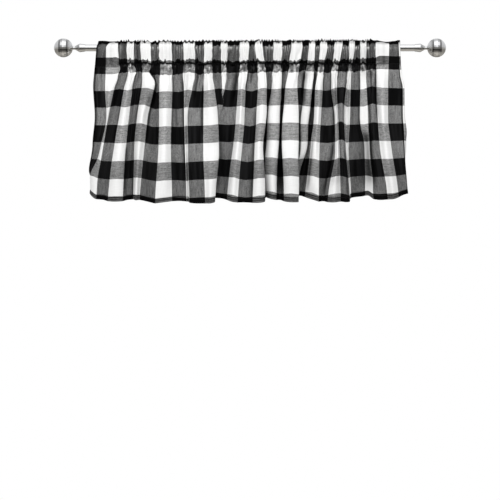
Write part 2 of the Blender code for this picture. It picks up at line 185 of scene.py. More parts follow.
# Where the folds push the cloth sideways beyond the stripes' own places.
#   place, width    counted in columns
#   height, above, below    of its middle below the rod's axis and its reach up and down, in millimetres
#   shift           in millimetres, to the right
Slide = namedtuple("Slide", "place width height above below shift")
SLIDES = tuple(Slide(*row) for row in (
    (0, 0.5, 312, 75, 45, -19), (0.9, 0.9, 308, 45, 45, -7), (0.3, 1, 380, 40, 60, 3),
    (2, 0.35, 48, 20, 20, 5), (3, 0.35, 48, 20, 25, 3), (4, 0.35, 56, 14, 16, 4.5),
    (6, 0.35, 57, 14, 13, -5), (6, 0.35, 77, 14, 26, 5), (13, 0.35, 132, 28, 90, 9),
    (14, 0.35, 165, 70, 195, -9), (18, 0.35, 160, 60, 80, 2.5),
    (19, 0.35, 160, 60, 80, -2.5), (18, 0.35, 300, 80, 110, 3),
    (19, 0.35, 300, 80, 110, -5.5), (20, 0.3, 190, 70, 110, 1.5),
    (21, 0.3, 190, 70, 110, -2), (22, 0.35, 225, 90, 110, 3),
    (22, 0.35, 330, 90, 120, 6), (23, 0.35, 255, 95, 110, 14), (24, 0.45, 240, 70, 60, 6),
    (35.12, 0.1, 200, 45, 35, 3.5), (35.12, 0.1, 290, 60, 150, -6),
))

# Where the hem is lifted, and where the top fold stands higher or lower than elsewhere.
#   place, width    counted in columns
#   rise            in millimetres
Swell = namedtuple("Swell", "place width rise")
LIFTS = tuple(Swell(*row) for row in (
    (0.1, 0.45, 5), (1, 0.45, 6), (31.4, 0.45, 4.5), (35, 1, 2.5),
))
SWELLS = tuple(Swell(*row) for row in (
    (0.3, 0.5, 1.5), (20, 12, 1.8), (29, 5, 2), (6.5, 0.45, -2.5), (32.7, 0.55, 2.4),
    (33.8, 0.4, -1.8), (35, 0.22, 2.2),
))

# How much further down the front the dark stripes' black checks reach from the top fold than the white
# columns' checks do, in millimetres, at places counted in columns
TIP_PLACES = (0, 7, 15, 31, 33, 36)
TIPS = (3.0, 4.5, 8.5, 8.0, 3.5, 3.0)

# How much lower than elsewhere a column's rows of checks hang, in millimetres, at four heights below
# the rod, first for a dark stripe and then for the white column after it
Sag = namedtuple("Sag", "dark white")
SAG_HEIGHTS = (25 * MM, 56 * MM, 112 * MM, 290 * MM)
SAGS = tuple(Sag(*row) for row in (
    ((-2, 3, 1, 2), (-2, 4, 1, -2)), ((-7, -2, -5, 1), (-5, 1, 0, -3)),
    ((-3, -2, -8, 0), (-1, -3, -7, -4)), ((-5, 5, 4, 0), (-1, 6, 1, -1)),
    ((-3, 2, 3, 2), (-4, -2, -3, 2)), ((-4, 7, 1, -4), (-2, 1, -1, -5)),
    ((-3, 2, -8, -5), (-1, -3, -4, -5)), ((0, -1, -1, -2), (3, -1, -4, -7)),
    ((-6, 0, 2, -1), (2, -2, -8, -7)), ((2, -3, -4, -4), (-2, -1, -4, -9)),
    ((-2, -5, -7, -5), (-2, 0, -7, -11)), ((0, -7, -7, -5), (-2, -4, -3, -3)),
    ((2, -4, -1, -1), (-3, -1, -1, -7)), ((-5, 0, 0, -3), (-1, -6, -5, -11)),
    ((-5, -1, -12, -9), (-3, -5, -2, -1)), ((-7, -3, -2, -1), (-4, -5, -2, -3)),
    ((-9, -10, -10, -5), (-8, -9, -5, -5)), ((-6, -8, -5, -2), (-6, -8, -3, -2)),
))

# Where the cloth crosses from one row of checks to the next, as lengths along it: the same as the
# height below the rod's axis on the front, and running on over the rod to the back
ROW_EDGES = (-52 * MM, -11 * MM, 25 * MM, 59.3 * MM, 101.5 * MM, 142.3 * MM, 185.4 * MM, 227.8 * MM,
             270.4 * MM, 313 * MM, 353.5 * MM, 397 * MM)


# ------------------------------------------------ the folds
def smooth_through(knots, values, places):
    """Read the monotone cubic through values (first axis at knots) at the given places."""
    knots = np.asarray(knots, float)
    values = np.asarray(values, float)
    gaps = np.diff(knots).reshape((-1,) + (1,) * (values.ndim - 1))
    rises = np.diff(values, axis=0) / gaps
    slopes = np.zeros_like(values)
    product = rises[:-1] * rises[1:]
    total = np.where(product > 0, rises[:-1] + rises[1:], 1.0)
    slopes[1:-1] = np.where(product > 0, 2 * product / total, 0.0)
    slopes[0] = rises[0]
    slopes[-1] = rises[-1]
    cell = np.clip(np.searchsorted(knots, places, side="right") - 1, 0, len(knots) - 2)
    gap = gaps[cell]
    share = (np.asarray(places, float) - knots[cell]).reshape(gap.shape) / gap
    back = 1 - share
    return (values[cell] * (1 + 2 * share) * back ** 2 + slopes[cell] * gap * share * back ** 2
            + values[cell + 1] * (3 - 2 * share) * share ** 2 - slopes[cell + 1] * gap * back * share ** 2)


def rounded(line):
    """Round the creases of a line of evenly spaced points, and keep its two ends in place."""
    reach = math.ceil(3 * FOLD_ROUNDING / ROUNDING_STEP)
    weights = np.exp(-0.5 * (np.arange(-reach, reach + 1) * ROUNDING_STEP / FOLD_ROUNDING) ** 2)
    before = 2 * line[0] - line[reach:0:-1]
    after = 2 * line[-1] - line[-2:-reach - 2:-1]
    longer = np.concatenate((before, line, after))
    line = np.column_stack([np.convolve(values, weights / weights.sum(), mode="valid")
                            for values in longer.T])
    for _ in range(ROUNDING_ROUNDS):
        half_chord = np.hypot(*(line[2:] - line[:-2]).T) / 2
        inward = (line[2:] + line[:-2]) / 2 - line[1:-1]
        tight = half_chord ** 2 < 2 * np.hypot(*inward.T) * CREASE_RADIUS
        line[1:-1] += np.where(tight, 0.5, 0.0)[:, None] * inward
    return line


def smooth_step(value, low, high):
    """0 up to low and 1 from high, with an even rise between them."""
    share = np.clip((np.asarray(value, float) - low) / (high - low), 0, 1)
    return share * share * (3 - 2 * share)


def hump(off, reach):
    """1 where off is 0, falling on both sides: 0.37 at reach, 0.02 at twice that."""
    return np.exp(-(off / reach) ** 2)


def raised(swells, stations):
    """How much higher the given swells make the cloth."""
    return sum(swell.rise * MM * hump(stations - swell.place, swell.width) for swell in swells)


def column_edges(height):
    """Places along X of the column edges at a height below the rod's axis."""
    heights = list(LEVELS.values())
    places = [[edge * MM for stripe in STRIPES for edge in getattr(stripe, name)] for name in LEVELS]
    lowest = [end + (end - above) * RUN_OUT for end, above in zip(places[-1], places[-2])]
    return smooth_through(heights + [HEM], places + [lowest], [height])[0]


def fallen(height):
    """Share of the way from the seam down to the hem."""
    return max(0.0, (height - SEAM) / (HEM - SEAM))


def cloth_line(height, stations):
    """The folds at one height, for places counted in columns: X, distance forward, and facing."""
    edges = column_edges(height)
    depths = EDGE_DEPTHS * fallen(height)
    size = HEADING_FOLD + (1 - HEADING_FOLD) * smooth_step(height, SEAM, FULL_FOLD)
    bows = [bow for stripe in STRIPES for bow in stripe.fold][:COLUMNS]
    slack = np.sqrt(np.maximum(0, CHECK ** 2 - np.diff(edges) ** 2 - np.diff(depths) ** 2))
    knots = np.append(np.arange(2 * COLUMNS + 1) / 2, SLICE_PLACE)
    across = np.empty(len(knots))
    forward = np.empty(len(knots))
    across[0:-1:2] = edges
    forward[0:-1:2] = depths
    across[1:-1:2] = (edges[:-1] + edges[1:]) / 2
    forward[1:-1:2] = (depths[:-1] + depths[1:]) / 2 + np.array(bows) * FOLD_SPREAD * slack * size
    across[-1] = edges[-1] + SIDE_SLICE
    forward[-1] = depths[-1]
    grid = np.arange(0, SLICE_PLACE + ROUNDING_STEP / 2, ROUNDING_STEP)
    line = rounded(smooth_through(knots, np.column_stack((across, forward)), grid))
    run, rise = np.gradient(line[:, 0]), np.gradient(line[:, 1])
    length = np.hypot(run, rise)
    facing = np.column_stack((-rise / length, run / length))
    return [np.interp(stations, grid, values) for values in (*line.T, *facing.T)]


# ------------------------------------------------ unevenness
# The last number in a call of wander or rumple is its seed.
WANDER_KNOTS = 4096
WANDER_START = 1024             # keeps places left of the cloth inside the knots
RUMPLE_KNOTS = 256
RUMPLE_START = 64


def wander(places, seed):
    """Smooth noise from -1 to 1 with one hill or hollow for each unit of places."""
    knots = np.random.default_rng(seed).uniform(-1, 1, WANDER_KNOTS)
    places = np.asarray(places, float) + WANDER_START
    cell = np.floor(places).astype(int)
    share = smooth_step(places - cell, 0, 1)
    return knots[cell] * (1 - share) + knots[cell + 1] * share


def rumple(across, down, seed):
    """Smooth noise from -1 to 1 over two directions, one hill or hollow for each unit."""
    knots = np.random.default_rng(seed).uniform(-1, 1, (RUMPLE_KNOTS, RUMPLE_KNOTS))
    across, down = np.broadcast_arrays(np.asarray(across, float) + RUMPLE_START,
                                       np.asarray(down, float) + RUMPLE_START)
    column, row = np.floor(across).astype(int), np.floor(down).astype(int)
    east, south = smooth_step(across - column, 0, 1), smooth_step(down - row, 0, 1)
    column, row = column % (RUMPLE_KNOTS - 1), row % (RUMPLE_KNOTS - 1)
    upper = knots[row, column] * (1 - east) + knots[row, column + 1] * east
    lower = knots[row + 1, column] * (1 - east) + knots[row + 1, column + 1] * east
    return upper * (1 - south) + lower * south


def gathered(stations):
    """1 where the heading is gathered, falling to 0 at its two smooth ends."""
    edge_distance = np.minimum(stations, SLICE_PLACE - stations)
    return smooth_step(edge_distance, SMOOTH_ENDS - END_BLEND, SMOOTH_ENDS + END_BLEND)


def gather_wave(stations, path, per_column, seed):
    """Uneven upright pleats, 0 in the pinched hollows and up to 1 on the round crests."""
    sway = 0.55 * wander(stations * 0.9, seed) + 0.16 * rumple(stations * 1.6, path / (26 * MM), seed + 1)
    turn = math.pi * per_column * (stations + sway)
    size = 0.72 + 0.28 * wander(stations * per_column * 0.6 + path / (60 * MM), seed + 2)
    return size * (1 - np.cos(turn) ** 2)


def pleat_wave(stations, path, seed=11):
    """The upright pleats that the seam gathers the cloth into."""
    return gather_wave(stations + 0.09 * wander(stations * 3.1, 17), path, GATHERS_PER_COLUMN, seed)


def crinkle(stations, path):
    """The tangle of small puckers just below the seam, from -1 to 1."""
    sway = 0.5 * rumple(stations * 2.5, path / (9 * MM), 22)
    return 0.65 * rumple(stations * 4.3 + sway, path / (7 * MM), 21) + 0.35 * rumple(
        stations * 9, path / (4 * MM), 23)


def crinkled(path):
    """1 in the puckered band at the seam, falling to 0 above it and at the end of the black row."""
    return smooth_step(path, SEAM - 10 * MM, SEAM - 3 * MM) * (1 - smooth_step(path, 54 * MM, 64 * MM))


def crease_shape(crease, stations, path):
    """1 in the middle of a crease, falling to 0 at its sides and ends."""
    share = np.clip((path / MM - crease.top) / (crease.bottom - crease.top), 0, 1)
    ends = smooth_step(share, 0, 0.15) * (1 - smooth_step(share, 0.75, 1))
    return ends * hump(stations - crease.place - crease.lean * share, crease.width)


def cloth_rise(stations, path):
    """How far the cloth stands off its folds: fine gathers, puckers at the seam, creases, wrinkles."""
    pull = gathered(stations)
    near_seam = 1 - smooth_step(path, SEAM + 8 * MM, GATHERED_DOWN)
    gathers = (pleat_wave(stations, path) - 0.5) * GATHER_DEPTH * near_seam
    puckers = 2.2 * MM * crinkled(path) * crinkle(stations, path)
    soft = 0.9 * MM * rumple(stations * 1.3, path / (70 * MM), 31) * smooth_step(path, SEAM, 120 * MM)
    creases = sum(crease.rise * MM * crease_shape(crease, stations, path) for crease in CREASES)
    sewn_in = -0.6 * MM * hump(path - HEM_STITCHES, 1.2 * MM)
    return pull * (gathers + puckers) + soft + creases + sewn_in


def slid(stations, height):
    """How far the folds push the cloth sideways."""
    total = np.zeros(len(stations))
    for slide in SLIDES:
        off = height / MM - slide.height
        reach = slide.above if off < 0 else slide.below
        upright = 1 - smooth_step(abs(off) / reach, 0, 1)
        total += slide.shift * MM * upright * hump(stations - slide.place, slide.width)
    return total


# ------------------------------------------------ the cloth
def put_in_scene(name, data):
    """A new object of the given name, linked to the scene."""
    thing = bpy.data.objects.new(name, data)
    bpy.context.scene.collection.objects.link(thing)
    return thing


def turned_back(stations):
    """Places past the cloth's two side edges lie behind it, in the side hems."""
    inside = np.abs(stations)
    inside = np.where(inside > SLICE_PLACE, 2 * SLICE_PLACE - inside, inside)
    past = np.maximum(-stations, stations - SLICE_PLACE)
    return inside, -0.5 * LAYER_GAP * smooth_step(past, 0, 0.03)


def hanging_row(height, stations, layer):
    """Points of the hanging cloth at one height, layer in front of or behind its own middle."""
    stations, behind = turned_back(stations)
    across, forward, facing_across, facing_forward = cloth_line(height, stations)
    rise = cloth_rise(stations, height) + layer + behind
    edges_forward = np.interp(stations, np.arange(len(EDGE_DEPTHS)), EDGE_DEPTHS) * fallen(height)
    drop = FRONT_DROP * (OWN_DEPTH * forward + (1 - OWN_DEPTH) * edges_forward) * height / HEM
    drop -= smooth_step(height, 290 * MM, HEM) * raised(LIFTS, stations)
    return np.column_stack((across + facing_across * rise + slid(stations, height),
                            -(forward + facing_forward * rise), -height - drop))


def pocket_row(turn, stations, front_foot, back_foot, share):
    """Points of the pocket: share of the way up to the rod's side, or turned over the rod."""
    stations, behind = turned_back(stations)
    pull = gathered(stations)
    across = cloth_line(LEVELS["rod"], stations)[0]
    path = SEAM * (1 - share) if turn in (0, math.pi) else 0.0
    top = math.sin(turn) ** CREST_POWER
    pleats = pleat_wave(stations, path, 11 if turn < 2 else 12) * 0.8 * GATHER_DEPTH
    frill = (gather_wave(stations, path, FRILL_PER_COLUMN, 41) - 0.3) * FRILL_HEIGHT
    crest = CREST + 0.8 * MM * wander(stations * 0.8, 43) + raised(SWELLS, stations)
    radius = (POCKET_RADIUS + behind + pull * pleats * (1 - 0.7 * math.sin(turn) ** 2)
              + (crest + pull * frill) * top)
    lean = pull * 2.2 * MM * top * wander(stations * 2.3, 45)
    across = across + math.sin(turn) ** 2 * END_SLIP * hump(stations - 0.7, 0.85)
    ring = np.column_stack((across, -radius * math.cos(turn) - lean, radius * math.sin(turn)))
    foot = front_foot if turn < 2 else back_foot
    return foot * (1 - share) + ring * share


def sheet_rows(stations, fine_stations):
    """The cloth's rows from the turned-up hem, down and up the front, over the rod and down behind.

    Each row is its points, the length along the cloth and its stations.
    """
    rows = []
    for height, layer in HEM_TURN_UP:
        path = 2 * HEM - height if layer else height
        rows.append((hanging_row(height, stations, layer * LAYER_GAP), path, stations))
    for height in (*HEM_ROWS, *np.linspace(HEM_TOP - 6 * MM, GATHERED_DOWN, HANGING_ROWS)):
        rows.append((hanging_row(height, stations, 0), height, stations))
    for below in BELOW_SEAM:
        height = SEAM + below * MM
        rows.append((hanging_row(height, fine_stations, 0), height, fine_stations))
    front_foot = rows[-1][0]
    back_foot = hanging_row(SEAM, fine_stations, -LAYER_GAP)
    over = -math.pi * OVER_ROD
    up = [(0, above * MM / SEAM, SEAM - above * MM) for above in ABOVE_SEAM]
    round_rod = [(turn, 1.0, -turn * OVER_ROD) for turn in np.linspace(0, math.pi, ROWS_OVER_ROD)]
    down = [(math.pi, share, over - SEAM * (1 - share)) for share in np.linspace(1, 0, ROWS_BEHIND_ROD)[1:]]
    for turn, share, path in up + round_rod + down:
        rows.append((pocket_row(turn, fine_stations, front_foot, back_foot, share), path, fine_stations))
    for height in np.linspace(SEAM, ALLOWANCE, ALLOWANCE_ROWS)[1:]:
        rows.append((hanging_row(height, fine_stations, -LAYER_GAP), over - height, fine_stations))
    return rows


def seam_height(stations):
    """Height of the seam's stitches below the rod's axis."""
    left = 1 - smooth_step(stations, SMOOTH_ENDS - END_BLEND, SMOOTH_ENDS + END_BLEND)
    return SEAM + (SEAM_AT_LEFT - SEAM) * left


def layers_behind(path, stations):
    """1 where a second layer of the cloth lies behind this one, more where two do: pocket and hems. The
    cloth's colour takes painted shade from it, where less light comes through.
    """
    seam = seam_height(stations)
    pocket = 1 - smooth_step(path, seam - 0.5 * MM, seam + 1 * MM)
    hem = smooth_step(path, HEM_TOP - 0.5 * MM, HEM_TOP + 0.5 * MM)
    inward = np.minimum(stations, SLICE_PLACE - stations)
    side = 1 - smooth_step(inward, SIDE_HEM - 0.01, SIDE_HEM + 0.01)
    side = np.where(stations > COLUMNS, 0.0, side)
    return np.maximum(np.maximum(pocket, hem), 2.4 * side)


def seam_jag(stations):
    """How unevenly the puckers lie along the seam, with spikes that reach up into the pocket."""
    spikes = (np.clip(wander(stations * 5.3, 63), 0, 1) ** 2
              + 0.6 * np.clip(wander(stations * 9.1, 64), 0, 1) ** 2)
    return (2.2 * wander(stations * 3.7, 61) + 1.7 * wander(stations * 8.3, 62) - 4.5 * spikes + 0.8) * MM


def check_place(path, stations):
    """Rows of checks counted down the cloth, as unevenly as its folds and puckers carry them."""
    middles = np.arange(2 * len(SAGS)) + 0.5
    table = np.array([heights for row in SAGS for heights in (row.dark, row.white)]) * MM
    levels = [np.interp(stations, middles, values) for values in table.T]
    sag = smooth_step(path, 8 * MM, SAG_HEIGHTS[0]) * levels[0]
    for above, below, top, bottom in zip(levels, levels[1:], SAG_HEIGHTS, SAG_HEIGHTS[1:]):
        sag = sag + (below - above) * np.clip((path - top) / (bottom - top), 0, 1)
    taken = smooth_step(path, 0, 22 * MM) * (1 - smooth_step(path, 36 * MM, 56 * MM))
    jagged = 1.6 * MM * wander(stations * 2.2, 51) + seam_jag(stations)
    under_seam = smooth_step(path, 44 * MM, 56 * MM) * (1 - smooth_step(path, 70 * MM, 95 * MM))
    wavy = 2.0 * MM * wander(stations * 3.1, 54) + 1.2 * MM * wander(stations * 7, 55)
    dark = smooth_step(np.abs(np.mod(stations, 2) - 0.5), 0.6, 0.4)
    pull = gathered(stations)
    uneven = 3.2 * wander(stations * 5, 56) * (0.5 + 0.5 * pull)
    tips = uneven + np.interp(stations, TIP_PLACES, TIPS) * dark - 2.5
    over = (1 - smooth_step(path, -2 * MM, 6 * MM)) * tips * MM
    moved = path - sag - over - pull * (taken * (SEAM_SLACK + jagged) + under_seam * wavy)
    return np.interp(moved, ROW_EDGES, np.arange(len(ROW_EDGES)))


def check_column(path, stations):
    """Columns of checks counted across the cloth: the seam squeezes the white ones and jogs them all."""
    pull = gathered(stations)
    near = pull * hump(path - SEAM - 3 * MM, 9 * MM)
    in_pocket = pull * (1 - smooth_step(path, SEAM + 20 * MM, GATHERED_DOWN))
    squeezed = 0.07 * near * np.cos(math.pi * stations)
    jogged = (0.045 * in_pocket + 0.05 * near) * rumple(stations * 1.7, path / (9 * MM), 71)
    return stations + squeezed + jogged


def seam_shade(path, stations):
    """How closed the puckers along the seam are, as painted shade, and where the thread itself draws them in,
    painted dark for the thread and its shade.
    """
    pull = gathered(stations)
    off_seam = path - SEAM + 1.5 * MM - seam_jag(stations)
    shade = pull * np.exp(-(off_seam / np.where(off_seam < 0, 2.2 * MM, 4.2 * MM)) ** 4)
    sewn = pull * np.exp(-((off_seam - 0.6 * MM) / (1.9 * MM)) ** 4)
    return shade * (0.85 + 0.35 * rumple(stations * 8, path / (3 * MM), 65)), sewn


def pleat_shade(path, stations):
    """Painted shade of how deep the fine pleats and the puckers lie, in the pocket at the smooth ends, and
    darker towards the hem.
    """
    pull = gathered(stations)
    fading = 1 - smooth_step(path, SEAM + 12 * MM, PLEATS_DOWN)
    pleats = (1 - pleat_wave(stations, path)) * fading
    pleats = pleats * (1 - crinkled(path)) * (0.65 + 0.35 * wander(stations * 1.3, 67))
    pleats = pleats * (1 - 0.45 * hump(stations - WEAK_PLEAT_SHADE, 0.6))
    puckers = np.clip(0.45 - 1.1 * crinkle(stations, path), 0, 1) * crinkled(path)
    # Painted shade in the pocket at the smooth ends, and painted shade that darkens the cloth towards the hem
    ends = (0.5 + 0.35 * wander(stations * 5, 68)) * (1 - smooth_step(path, SEAM, SEAM_AT_LEFT))
    near_hem = 0.4 * smooth_step(path, 240 * MM, 300 * MM)
    return pull * np.maximum(pleats, puckers) + (1 - pull) * ends + near_hem


def lit_share(path, stations, seam):
    """Painted highlight: how well lit the crests and tips at the top are, and the puckers that stand up below
    the seam.
    """
    crests = pleat_wave(stations, path) ** 2 * smooth_step(path, -9 * MM, -3 * MM)
    some = np.clip(0.5 + wander(stations * 2.1, 66), 0, 1)
    lit = crests * (1 - smooth_step(path, 2 * MM, 20 * MM)) * some
    tips = np.clip(1.7 * wander(stations * 6.5, 72), 0, 1) * hump(path - 0.5 * MM, 3.5 * MM)
    puckers = 0.36 * crinkled(path) * np.clip(1.6 * crinkle(stations, path), 0, 1)
    puckers = puckers * (1 - np.clip(seam, 0, 1))
    lit = np.maximum(np.maximum(lit, 0.85 * tips), puckers)
    return (0.4 + 0.6 * gathered(stations)) * lit


def hollows(path, stations):
    """For the cloth's colour, from 0 to 1: painted shade in closed creases, along the seam, the hem's lines
    and the top fold, in pleats and puckers, painted highlights on lit parts, and the seam's thread with its
    shade.
    """
    seam, sewn = seam_shade(path, stations)
    closed = sum(crease.shade * crease_shape(crease, stations, path) for crease in CREASES)
    # Painted shade: lines along the hem's stitches and its turned-in edge, and a band along the top of the
    # heading's crest
    hem = 0.95 * hump(path - HEM_STITCHES, 1.3 * MM) + 0.75 * hump(path - INNER_HEM_EDGE, 1.3 * MM)
    crest = 0.65 * smooth_step(-path, 8 * MM, 13 * MM) * (1 - smooth_step(-path, 18 * MM, 25 * MM))
    closed = np.maximum(np.maximum(closed, 0.8 * seam), np.maximum(hem, crest))
    return {"closed": np.clip(closed, 0, 1), "pleated": np.clip(pleat_shade(path, stations), 0, 1),
            "lit": lit_share(path, stations, seam), "sewn": sewn}


def build_cloth():
    """The valance as one sheet, with its checks and threads counted in its UV maps."""
    hem_steps = (0.03, SIDE_HEM / 2, SIDE_HEM)
    stations = np.concatenate(([-step for step in reversed(hem_steps)],
                               np.arange(COLUMNS * HANGING_STATIONS + 1) / HANGING_STATIONS,
                               [COLUMNS + 0.01, SLICE_PLACE], [SLICE_PLACE + step for step in hem_steps]))
    extra = HEADING_STATIONS // HANGING_STATIONS
    fine = np.interp(np.arange((len(stations) - 1) * extra + 1) / extra, np.arange(len(stations)), stations)
    rows = sheet_rows(stations, fine)

    points = np.concatenate([row[0] for row in rows])
    starts = np.concatenate(([0], np.cumsum([len(row[0]) for row in rows])))
    faces = []
    for number in range(len(rows) - 1):
        low, high = starts[number], starts[number + 1]
        low_count, high_count = len(rows[number][0]), len(rows[number + 1][0])
        for cell in range(low_count - 1):
            if low_count == high_count:
                faces.append((low + cell, low + cell + 1, high + cell + 1, high + cell))
            else:
                crown = [high + cell * extra + step for step in range(extra, -1, -1)]
                faces.append((low + cell, low + cell + 1, *crown))
    mesh = bpy.data.meshes.new("valance_cloth")
    mesh.from_pydata(points.tolist(), [], faces)

    place = np.concatenate([row[2] for row in rows])
    path = np.concatenate([np.full(len(row[0]), row[1]) for row in rows])
    corner = np.empty(len(mesh.loops), int)
    mesh.loops.foreach_get("vertex_index", corner)
    maps = {"checks": np.column_stack((check_column(path, place) + COLUMN_SHIFT, check_place(path, place))),
            "threads": np.column_stack((place * CHECK, path))}
    for name, values in maps.items():
        layer = mesh.uv_layers.new(name=name)
        layer.data.foreach_set("uv", values[corner].ravel())
    # The layers behind, and the painted shade and highlights that the cloth's colour reads
    for name, values in {"doubled": layers_behind(path, place), **hollows(path, place)}.items():
        attribute = mesh.attributes.new(name, "FLOAT", "POINT")
        attribute.data.foreach_set("value", values)
    mesh.shade_smooth()
    return put_in_scene("valance_cloth", mesh)


# ------------------------------------------------ the stitching
# Each row of stitches: its height below the rod's axis (None: the seam's own), how far it stands off
# the middle of the cloth, and the places where it starts and ends, counted in columns
StitchRow = namedtuple("StitchRow", "height stand_off start end")
STITCH_ROWS = (
    StitchRow(None, 0.5 * MM, 0.05, SLICE_PLACE - 0.05),
    StitchRow(HEM_STITCHES, 0.3 * MM, 0.05, SLICE_PLACE - 0.05),
)
STITCH = 2.8 * MM
STITCH_GAP = 0.9 * MM
STITCH_RADIUS = 0.42 * MM
STITCH_SIDES = 5
STITCH_PLACES = (0, 0.25, 0.75, 1)      # of a stitch's rings, as shares of its length
LINE_POINTS = 60                        # for each column


def stitch_line(row):
    """Points along a row of stitches, just in front of the cloth."""
    stations = np.linspace(row.start, row.end, LINE_POINTS * COLUMNS)
    if row.height is not None:
        return hanging_row(row.height, stations, row.stand_off)
    lowest = hanging_row(SEAM_AT_LEFT, stations, row.stand_off)
    highest = hanging_row(SEAM, stations, row.stand_off)
    share = ((seam_height(stations) - SEAM) / (SEAM_AT_LEFT - SEAM))[:, None]
    return highest * (1 - share) + lowest * share


def build_stitches():
    """Every stitch as a short bead of black thread, its two ends sunk into the cloth."""
    shape = bmesh.new()
    for row in STITCH_ROWS:
        line = stitch_line(row)
        run = np.concatenate(([0], np.cumsum(np.linalg.norm(np.diff(line, axis=0), axis=1))))
        for start in np.arange(0, run[-1] - STITCH, STITCH + STITCH_GAP):
            along = start + np.array(STITCH_PLACES) * STITCH
            middle = np.column_stack([np.interp(along, run, line[:, axis]) for axis in range(3)])
            middle[(0, 3), 1] += 2 * STITCH_RADIUS
            rings = []
            for point in middle:
                corners = [point + STITCH_RADIUS * np.array((0, math.cos(turn), math.sin(turn)))
                           for turn in np.arange(STITCH_SIDES) * math.tau / STITCH_SIDES]
                rings.append([shape.verts.new(corner) for corner in corners])
            for first, second in zip(rings, rings[1:]):
                for side in range(STITCH_SIDES):
                    shape.faces.new((first[side], first[side - 1], second[side - 1], second[side]))
            shape.faces.new(rings[0])
            shape.faces.new(rings[-1][::-1])
    mesh = bpy.data.meshes.new("valance_stitching")
    shape.to_mesh(mesh)
    shape.free()
    mesh.shade_smooth()
    return put_in_scene("valance_stitching", mesh)


# ------------------------------------------------ materials
class Nodes:
    """Short calls for building a node tree. An input goes by its name or, as in i0, by its number."""

    def __init__(self, tree):
        self.tree = tree

    def add(self, kind, settings=None, **inputs):
        node = self.tree.nodes.new(kind)
        for name, value in (settings or {}).items():
            setattr(node, name, value)
        for name, value in inputs.items():
            self.feed(node, int(name[1:]) if name[0] == "i" and name[1:].isdigit() else name, value)
        return node

    def feed(self, node, socket, value):
        if isinstance(value, bpy.types.NodeSocket):
            self.tree.links.new(value, node.inputs[socket])
        else:
            node.inputs[socket].default_value = value

    def math(self, operation, first, second=0.0, third=0.0):
        node = self.add("ShaderNodeMath", {"operation": operation}, i0=first, i1=second, i2=third)
        return node.outputs[0]

    def plus(self, first, second):
        return self.math("ADD", first, second)

    def times(self, first, second):
        return self.math("MULTIPLY", first, second)

    def less(self, value, share=1.0):
        """1 less a share of the value."""
        return self.math("SUBTRACT", 1.0, self.times(value, share))

    def noise(self, place, scale, detail):
        return self.add("ShaderNodeTexNoise", Vector=place, Scale=scale, Detail=detail).outputs[0]

    def stretched(self, place, scale):
        return self.add("ShaderNodeMapping", i0=place, i3=scale).outputs[0]

    def mix(self, share, first, second, blend="MIX"):
        node = self.add("ShaderNodeMix", {"data_type": "RGBA", "blend_type": blend})
        self.feed(node, 0, share)
        self.feed(node, 6, first)
        self.feed(node, 7, second)
        return node.outputs[2]

    def between(self, value, low, high, to_low=0.0, to_high=1.0):
        node = self.add("ShaderNodeMapRange", i0=value, i1=low, i2=high, i3=to_low, i4=to_high)
        return node.outputs[0]


def new_material(name):
    material = bpy.data.materials.new(name)
    material.use_nodes = True
    tree = material.node_tree
    shader = tree.nodes["Principled BSDF"]
    return material, Nodes(tree), shader


WHITE_YARN = (0.885, 0.885, 0.88, 1)
BLACK_YARN = (0.0115, 0.0115, 0.012, 1)
DEEP_BLACK = (0.002, 0.002, 0.002, 1)   # painted shade: black where no light comes through from behind or into a closed crease
THREAD = 0.75 * MM              # pitch of the warp and of the weft
WARP_WHITE = (0.225, 0.44)      # share of white in a white column's dark rows: weft over, warp over
WEFT_WHITE = (0.33, 0.10)       # the same in a dark column's white rows
SECOND_LAYER = (0.33, 0.50)     # share of it that a layer behind takes away, as painted shade where less light comes through: white weft, black weft
MIXED_SHADE = {"closed": 0.8, "pleated": 0.62}                  # and that painted shade in closed creases and pleats takes away
YARN_SHADE = {"closed": 0.66, "pleated": 0.20, "sewn": 0.93}    # how much darker painted shade makes all yarn; the seam's line is its thread too
LIT_MIXED = 3.4                 # painted highlight: how many times more of it shows on the best lit crests
LIT_BLACK = 0.6                 # and how pale that painted highlight makes all yarn
